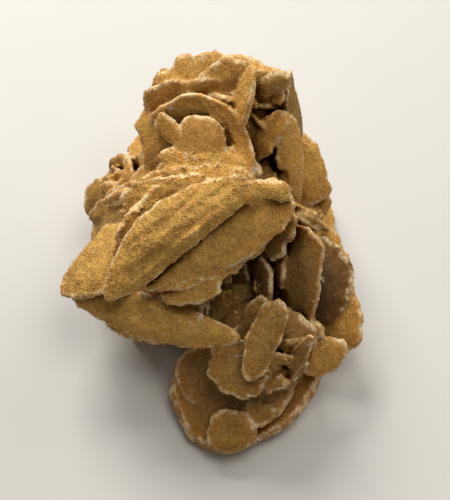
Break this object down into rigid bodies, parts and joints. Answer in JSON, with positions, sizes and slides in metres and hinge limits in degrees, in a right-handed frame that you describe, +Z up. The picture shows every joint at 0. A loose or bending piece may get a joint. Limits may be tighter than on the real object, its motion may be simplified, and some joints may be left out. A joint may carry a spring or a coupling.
{
  "type": "gypsum sand rose",
  "caption": "Free-standing cluster of intergrown sandy gypsum blades, like a rose, with a domed crown, leaning middle plates, a side wing and a flat slab foot in front.",
  "frame": {"origin": "middle of the bounding box at the level the cluster stands on", "axes": "+X to the cluster's right, +Y to its back, +Z up; the low slab is at the front, towards -Y"},
  "size_m": [0.0822, 0.1001, 0.0674],
  "materials": {
    "sandy_gypsum": "sugary, sand-crusted, slightly waxy at thin rims"
  },
  "bodies": {
    "root": {"sand_rose": "sandy_gypsum"}
  },
  "joints": []
}
